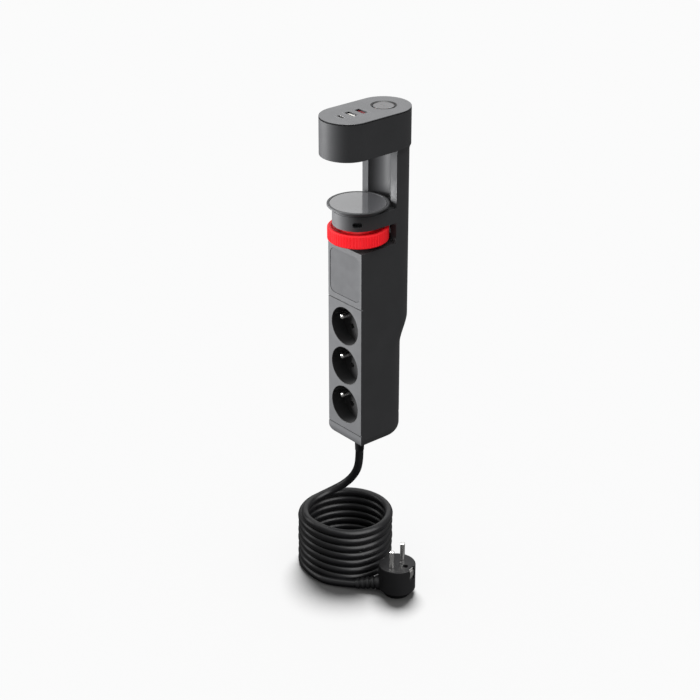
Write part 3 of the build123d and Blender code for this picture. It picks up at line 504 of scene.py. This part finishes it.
make_outline("usb_c_outline", "usb_c_shell", C_OUTLINE_X, C_OUTLINE)
make_outline("usb_a_outline", "usb_a_shells", A_OUTLINE_X, A_OUTLINE)

# What the cord carries ------------------------------------------------------------------------
supply_cord.data.materials.append(LOOKS["cord_black"])
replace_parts(supply_cord, "cord_drop", "cord_coil", "cord_tail")
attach(supply_cord, "tower")
plug_parts = [nodes[n] for n in ("plug_body", "plug_pins", "plug_earth_clips")]

# Floor and lights -----------------------------------------------------------------------------
# The photograph's pieces are lit one by one, so most lights are linked to the pieces they light.
TARGET = Vector((0.02, 0.0, -0.2))
FLOOR_HALF = 8.0
FLOOR_SHADE = 0.26
FLOOR_BOUNCE = 0.035
SKY_SEEN = 1.0
SKY_LIT = 0.4
KEY = (-139.0, 10.0)  # degrees: where a light is round the part, and how high
KEY_ABOVE = (-139.0, 24.0)
COLUMN_KEY = (-112.0, 3.0)
WHEEL_FILL = (-45.0, 15.0)
ABOVE = (0.0, 90.0)
CARD = (140.0, 26.0)  # across from the camera, for the gloss of the pad
COIL_CARD = (6.0, 30.0)
FLOOR_SUN = (140.0, 60.0)
FAR, NEAR = 3.0, 1.6  # metres from the part
WIDE = 1.6  # metres, the side of a softbox


def towards(turn, lift):
    """The direction of a light from the part."""
    turn, lift = radians(turn), radians(lift)
    return Vector((cos(lift) * cos(turn), cos(lift) * sin(turn), sin(lift)))


def make_floor():
    """A floor that is white to the camera and gives little light back to the part."""
    half = FLOOR_HALF
    corners = [(-half, -half), (half, -half), (half, half), (-half, half)]
    mesh = bpy.data.meshes.new("floor")
    mesh.from_pydata([(x, y, FLOOR_Z) for x, y in corners], [], [(0, 1, 2, 3)])
    paint = bpy.data.materials.new("floor")
    paint.use_nodes = True
    tree = paint.node_tree
    tree.nodes.remove(tree.nodes["Principled BSDF"])
    seen = tree.nodes.new("ShaderNodeBsdfDiffuse")
    seen.inputs["Color"].default_value = (FLOOR_SHADE, FLOOR_SHADE, FLOOR_SHADE, 1)
    lit = tree.nodes.new("ShaderNodeBsdfDiffuse")
    lit.inputs["Color"].default_value = (FLOOR_BOUNCE, FLOOR_BOUNCE, FLOOR_BOUNCE, 1)
    mix = tree.nodes.new("ShaderNodeMixShader")
    path = tree.nodes.new("ShaderNodeLightPath")
    tree.links.new(path.outputs["Is Camera Ray"], mix.inputs[0])
    tree.links.new(lit.outputs[0], mix.inputs[1])
    tree.links.new(seen.outputs[0], mix.inputs[2])
    tree.links.new(mix.outputs[0], tree.nodes["Material Output"].inputs["Surface"])
    mesh.materials.append(paint)
    floor = bpy.data.objects.new("floor", mesh)
    bpy.context.scene.collection.objects.link(floor)
    return floor


def group_of(name, pieces, state):
    """A collection for light linking that includes or excludes the given pieces."""
    group = bpy.data.collections.new(name)
    for piece in pieces:
        group.objects.link(piece)
    for entry in group.collection_objects:
        entry.light_linking.link_state = state
    return group


def make_softbox(name, place, distance, size, power, pieces, state):
    """A square light that faces the part, for the pieces (INCLUDE) or for all others (EXCLUDE)."""
    data = bpy.data.lights.new(name, "AREA")
    data.shape = "SQUARE"
    data.size = size
    data.energy = power
    lamp = bpy.data.objects.new(name, data)
    away = towards(*place)
    lamp.location = TARGET + away * distance
    lamp.rotation_euler = away.to_track_quat("Z", "Y").to_euler()
    lamp.visible_camera = False
    bpy.context.scene.collection.objects.link(lamp)
    lamp.light_linking.receiver_collection = group_of(name + "_lights", pieces, state)


def make_sky(seen, lit):
    """A white surround for the camera, and a dimmer one for the light that it gives."""
    world = bpy.data.worlds.new("surround")
    bpy.context.scene.world = world
    world.use_nodes = True
    tree = world.node_tree
    back = tree.nodes["Background"]
    back.inputs["Color"].default_value = (lit, lit, lit, 1)
    white = tree.nodes.new("ShaderNodeBackground")
    white.inputs["Color"].default_value = (seen, seen, seen, 1)
    mix = tree.nodes.new("ShaderNodeMixShader")
    path = tree.nodes.new("ShaderNodeLightPath")
    tree.links.new(path.outputs["Is Camera Ray"], mix.inputs[0])
    tree.links.new(back.outputs[0], mix.inputs[1])
    tree.links.new(white.outputs[0], mix.inputs[2])
    tree.links.new(mix.outputs[0], tree.nodes["World Output"].inputs["Surface"])


def make_sun(name, place, width, strength, state, blockers=None):
    """A wide soft light from far away, for the floor alone (INCLUDE) or for the part alone."""
    data = bpy.data.lights.new(name, "SUN")
    data.energy = strength
    data.angle = radians(width)
    lamp = bpy.data.objects.new(name, data)
    lamp.rotation_euler = towards(*place).to_track_quat("Z", "Y").to_euler()
    bpy.context.scene.collection.objects.link(lamp)
    lamp.light_linking.receiver_collection = group_of(name + "_lights", [floor], state)
    if blockers:
        lamp.light_linking.blocker_collection = group_of(name + "_blockers", blockers, "INCLUDE")


floor = make_floor()
make_sky(SKY_SEEN, SKY_LIT)
column, head, wheel = nodes["column"], nodes["head_shell"], nodes["clamp_wheel"]
top_pieces = [nodes[n] for n in ("top_panel", "button_bezel", "power_button")]
lying = [supply_cord, strain_relief, *plug_parts]
dark_goods = [supply_cord, strain_relief, nodes["plug_body"]]
plug_goods = [*dark_goods, nodes["plug_pins"]]
lit_apart = [floor, column, head, wheel, *top_pieces, *dark_goods]
# For the suns: width in degrees, strength. For the softboxes: distance, size, power in watts.
make_sun("overhead", ABOVE, 75.0, 1.7, "EXCLUDE")
make_sun("floor_light", FLOOR_SUN, 34.0, 12.0, "INCLUDE", lying)
make_softbox("key", KEY, FAR, WIDE, 385.0, lit_apart, "EXCLUDE")
make_softbox("wheel_key", KEY, FAR, WIDE, 130.0, [wheel], "INCLUDE")
make_softbox("wheel_fill", WHEEL_FILL, FAR, WIDE, 80.0, [wheel], "INCLUDE")
make_softbox("top_light", ABOVE, FAR, WIDE, 140.0, top_pieces, "INCLUDE")
make_softbox("head_key", KEY, FAR, WIDE, 230.0, [head], "INCLUDE")
make_softbox("column_key", COLUMN_KEY, FAR, 1.2, 215.0, [column], "INCLUDE")
make_softbox("card", CARD, NEAR, 1.4, 4.3, [floor], "EXCLUDE")
make_softbox("coil_card", COIL_CARD, 1.4, WIDE, 38.0, plug_goods, "INCLUDE")
make_softbox("coil_left", KEY_ABOVE, NEAR, 0.9, 7.0, dark_goods, "INCLUDE")
bpy.context.scene.view_settings.view_transform = "Standard"
